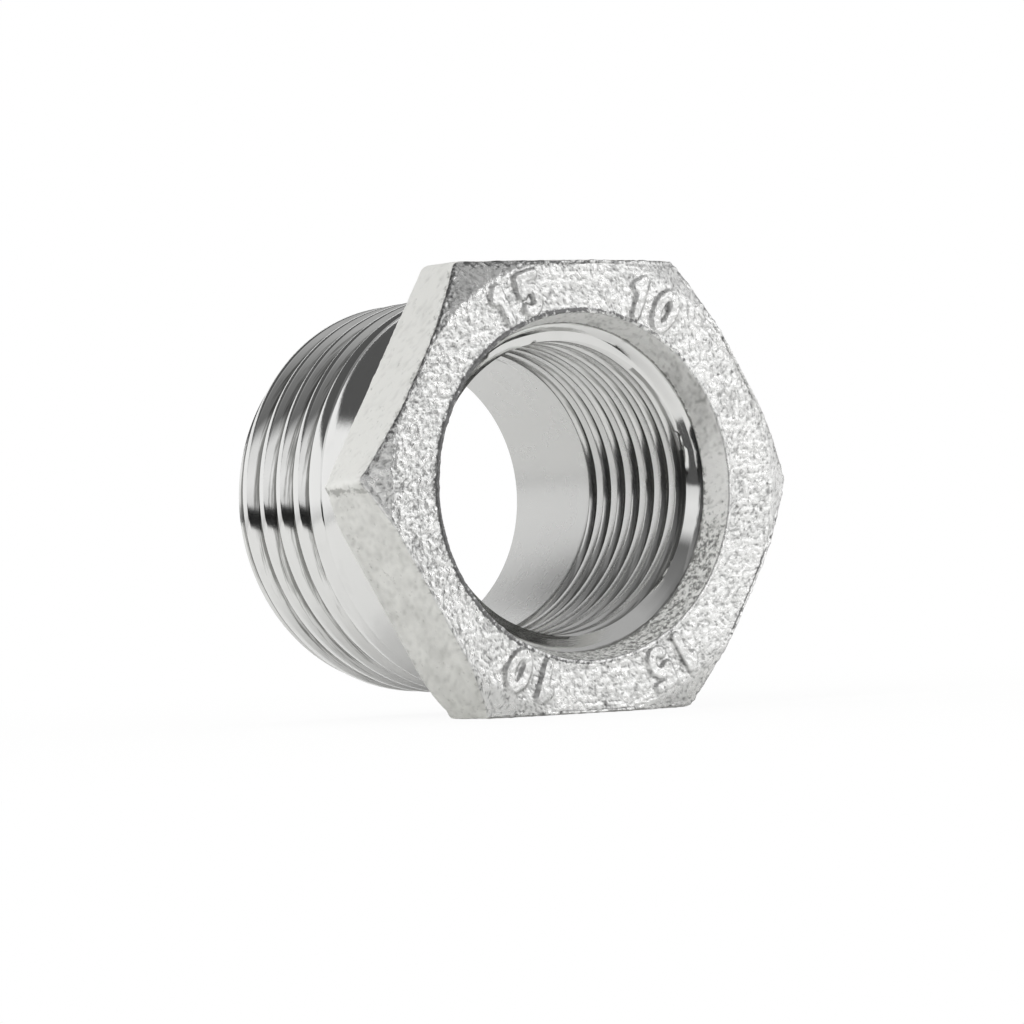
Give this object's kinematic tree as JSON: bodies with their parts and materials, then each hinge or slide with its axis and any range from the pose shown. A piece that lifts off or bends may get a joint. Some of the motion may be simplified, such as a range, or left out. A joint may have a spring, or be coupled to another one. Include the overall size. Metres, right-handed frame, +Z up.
{
  "type": "hex bushing",
  "caption": "Cast hexagon reducing bushing for pipe: tapered male thread on the shank, smaller female thread in the bore.",
  "frame": {"origin": "middle of the bounding box's underside, below the thread axis", "axes": "thread axis along Y, head and mouth at -Y, threaded shank at +Y; the hexagon lies on a flat, +Z up, corners at +X and -X"},
  "size_m": [0.0264, 0.0186, 0.023],
  "materials": {
    "cast_stainless": "cast face with a coarse pickled grain, satin flats, bright turned threads"
  },
  "bodies": {
    "root": {"hex_bushing": "cast_stainless"}
  },
  "joints": []
}
